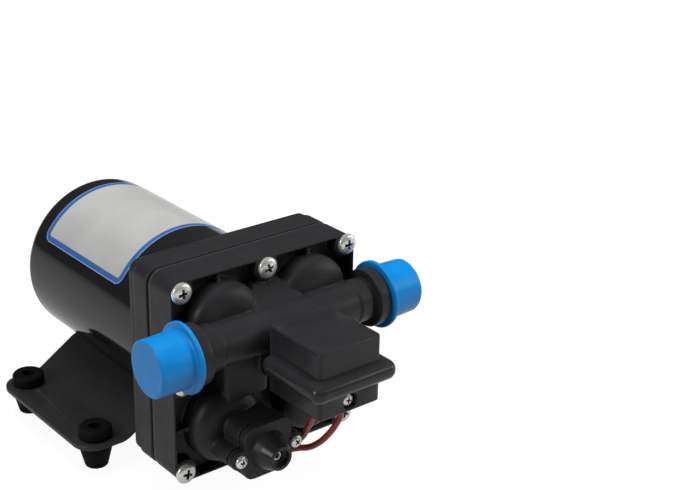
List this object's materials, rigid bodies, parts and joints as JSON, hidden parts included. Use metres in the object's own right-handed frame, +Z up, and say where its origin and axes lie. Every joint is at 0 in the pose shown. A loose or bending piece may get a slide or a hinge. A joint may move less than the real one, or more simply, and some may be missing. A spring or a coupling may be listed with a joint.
{
  "type": "diaphragm water pump",
  "caption": "Caravan water pump: a square diaphragm head with capped side ports, a pressure switch and a bypass valve on a round motor, on a footed bracket.",
  "frame": {"origin": "centre of the four foot holes, on the plane that the rubber feet stand on", "axes": "+X across the ports to the outlet, +Y from the pump head to the motor's closed end, +Z up"},
  "size_m": [0.1452, 0.223, 0.1225],
  "materials": {
    "satin_black_plastic": "satin moulded",
    "gloss_black_paint": "gloss",
    "satin_black_paint": "satin",
    "blue_plastic": "soft gloss",
    "stainless_steel": "bright",
    "spring_steel": "bright",
    "bearing_steel": "ground",
    "black_rubber": "matt",
    "valve_rubber": "matt",
    "white_plastic": "moulded",
    "dark_plastic": "moulded",
    "cast_alloy": "cast",
    "silver_label": "silver film",
    "core_steel": "stamped stack",
    "copper": "enamelled",
    "ferrite": "ground",
    "brush_brass": "pressed",
    "carbon": "matt",
    "red_insulation": "wire insulation"
  },
  "bodies": {
    "frame": {"front_cover": "satin_black_plastic", "valve_plate": "satin_black_plastic", "rear_housing": "satin_black_plastic", "inlet_fitting": "satin_black_plastic", "outlet_fitting": "satin_black_plastic", "switch_base": "satin_black_plastic", "switch_cover": "satin_black_plastic", "bypass_cover": "satin_black_plastic", "end_bell": "satin_black_plastic", "motor_can": "gloss_black_paint", "base_bracket": "satin_black_paint", "head_screws": "stainless_steel", "bypass_screws": "stainless_steel", "motor_bolts": "stainless_steel", "bracket_screws": "stainless_steel", "switch_spring": "spring_steel", "bypass_spring": "spring_steel", "brush_springs": "spring_steel", "front_bearing": "bearing_steel", "rear_bearing": "bearing_steel", "diaphragm": "black_rubber", "valve_seal": "black_rubber", "port_seals": "black_rubber", "switch_diaphragm": "black_rubber", "bypass_gasket": "black_rubber", "lead_grommet": "black_rubber", "foot_front_left": "black_rubber", "foot_front_right": "black_rubber", "foot_rear_left": "black_rubber", "foot_rear_right": "black_rubber", "inlet_valves": "valve_rubber", "outlet_valve": "valve_rubber", "microswitch": "dark_plastic", "motor_label": "silver_label", "field_magnets": "ferrite", "brush_holders": "brush_brass", "carbon_brushes": "carbon", "switch_lead_left": "red_insulation", "switch_lead_right": "red_insulation"},
    "rotor": {"motor_shaft": "bearing_steel", "armature_core": "core_steel", "armature_windings": "copper", "commutator": "copper", "drive_cam": "cast_alloy"},
    "wobble": {"wobble_plate": "white_plastic", "cam_bearing": "bearing_steel", "piston_pads": "white_plastic", "piston_screws": "stainless_steel"},
    "inlet_cap_body": {"inlet_cap": "blue_plastic"},
    "outlet_cap_body": {"outlet_cap": "blue_plastic"},
    "poppet": {"bypass_poppet": "white_plastic"},
    "bypass_screw": {"bypass_adjusting_screw": "stainless_steel"},
    "plunger": {"switch_plunger": "white_plastic"},
    "button": {"microswitch_button": "white_plastic"},
    "switch_screw": {"switch_adjusting_screw": "stainless_steel"}
  },
  "joints": [
    {"name": "rotor_spin", "type": "hinge", "parent": "frame", "child": "rotor", "pos_m": [0, -0.02, 0.0725], "axis": [0, 1, 0], "continuous": true},
    {"name": "wobble_turn", "type": "hinge", "parent": "rotor", "child": "wobble", "pos_m": [0, -0.0763, 0.0725], "axis": [0, 0.9981, 0.061], "continuous": true},
    {"name": "inlet_cap_pull", "type": "slide", "parent": "frame", "child": "inlet_cap_body", "axis": [-1, 0, 0], "range_m": [0, 0.04]},
    {"name": "outlet_cap_pull", "type": "slide", "parent": "frame", "child": "outlet_cap_body", "axis": [1, 0, 0], "range_m": [0, 0.04]},
    {"name": "bypass_lift", "type": "slide", "parent": "frame", "child": "poppet", "axis": [0, -1, 0], "range_m": [0, 0.003], "stiffness_N_per_m": 800, "springref_m": -0.002, "deforming": ["bypass_spring"]},
    {"name": "bypass_adjust", "type": "hinge", "parent": "frame", "child": "bypass_screw", "pos_m": [-0.01675, -0.1335, 0.0403], "axis": [0, 1, 0], "range_deg": [-180, 180]},
    {"name": "switch_plunger_travel", "type": "slide", "parent": "frame", "child": "plunger", "axis": [0, -1, 0], "range_m": [0, 0.002], "stiffness_N_per_m": 1500, "springref_m": -0.001, "deforming": ["switch_spring"]},
    {"name": "microswitch_press", "type": "slide", "parent": "frame", "child": "button", "axis": [0, -1, 0], "range_m": [0, 0.0012]},
    {"name": "switch_adjust", "type": "hinge", "parent": "frame", "child": "switch_screw", "pos_m": [0, -0.162, 0.07575], "axis": [0, 1, 0], "range_deg": [-180, 180]}
  ],
  "couplings": [
    {"joint": "wobble_turn", "follows": "rotor_spin", "ratio": -1},
    {"joint": "microswitch_press", "follows": "switch_plunger_travel", "ratio": 0.5}
  ]
}
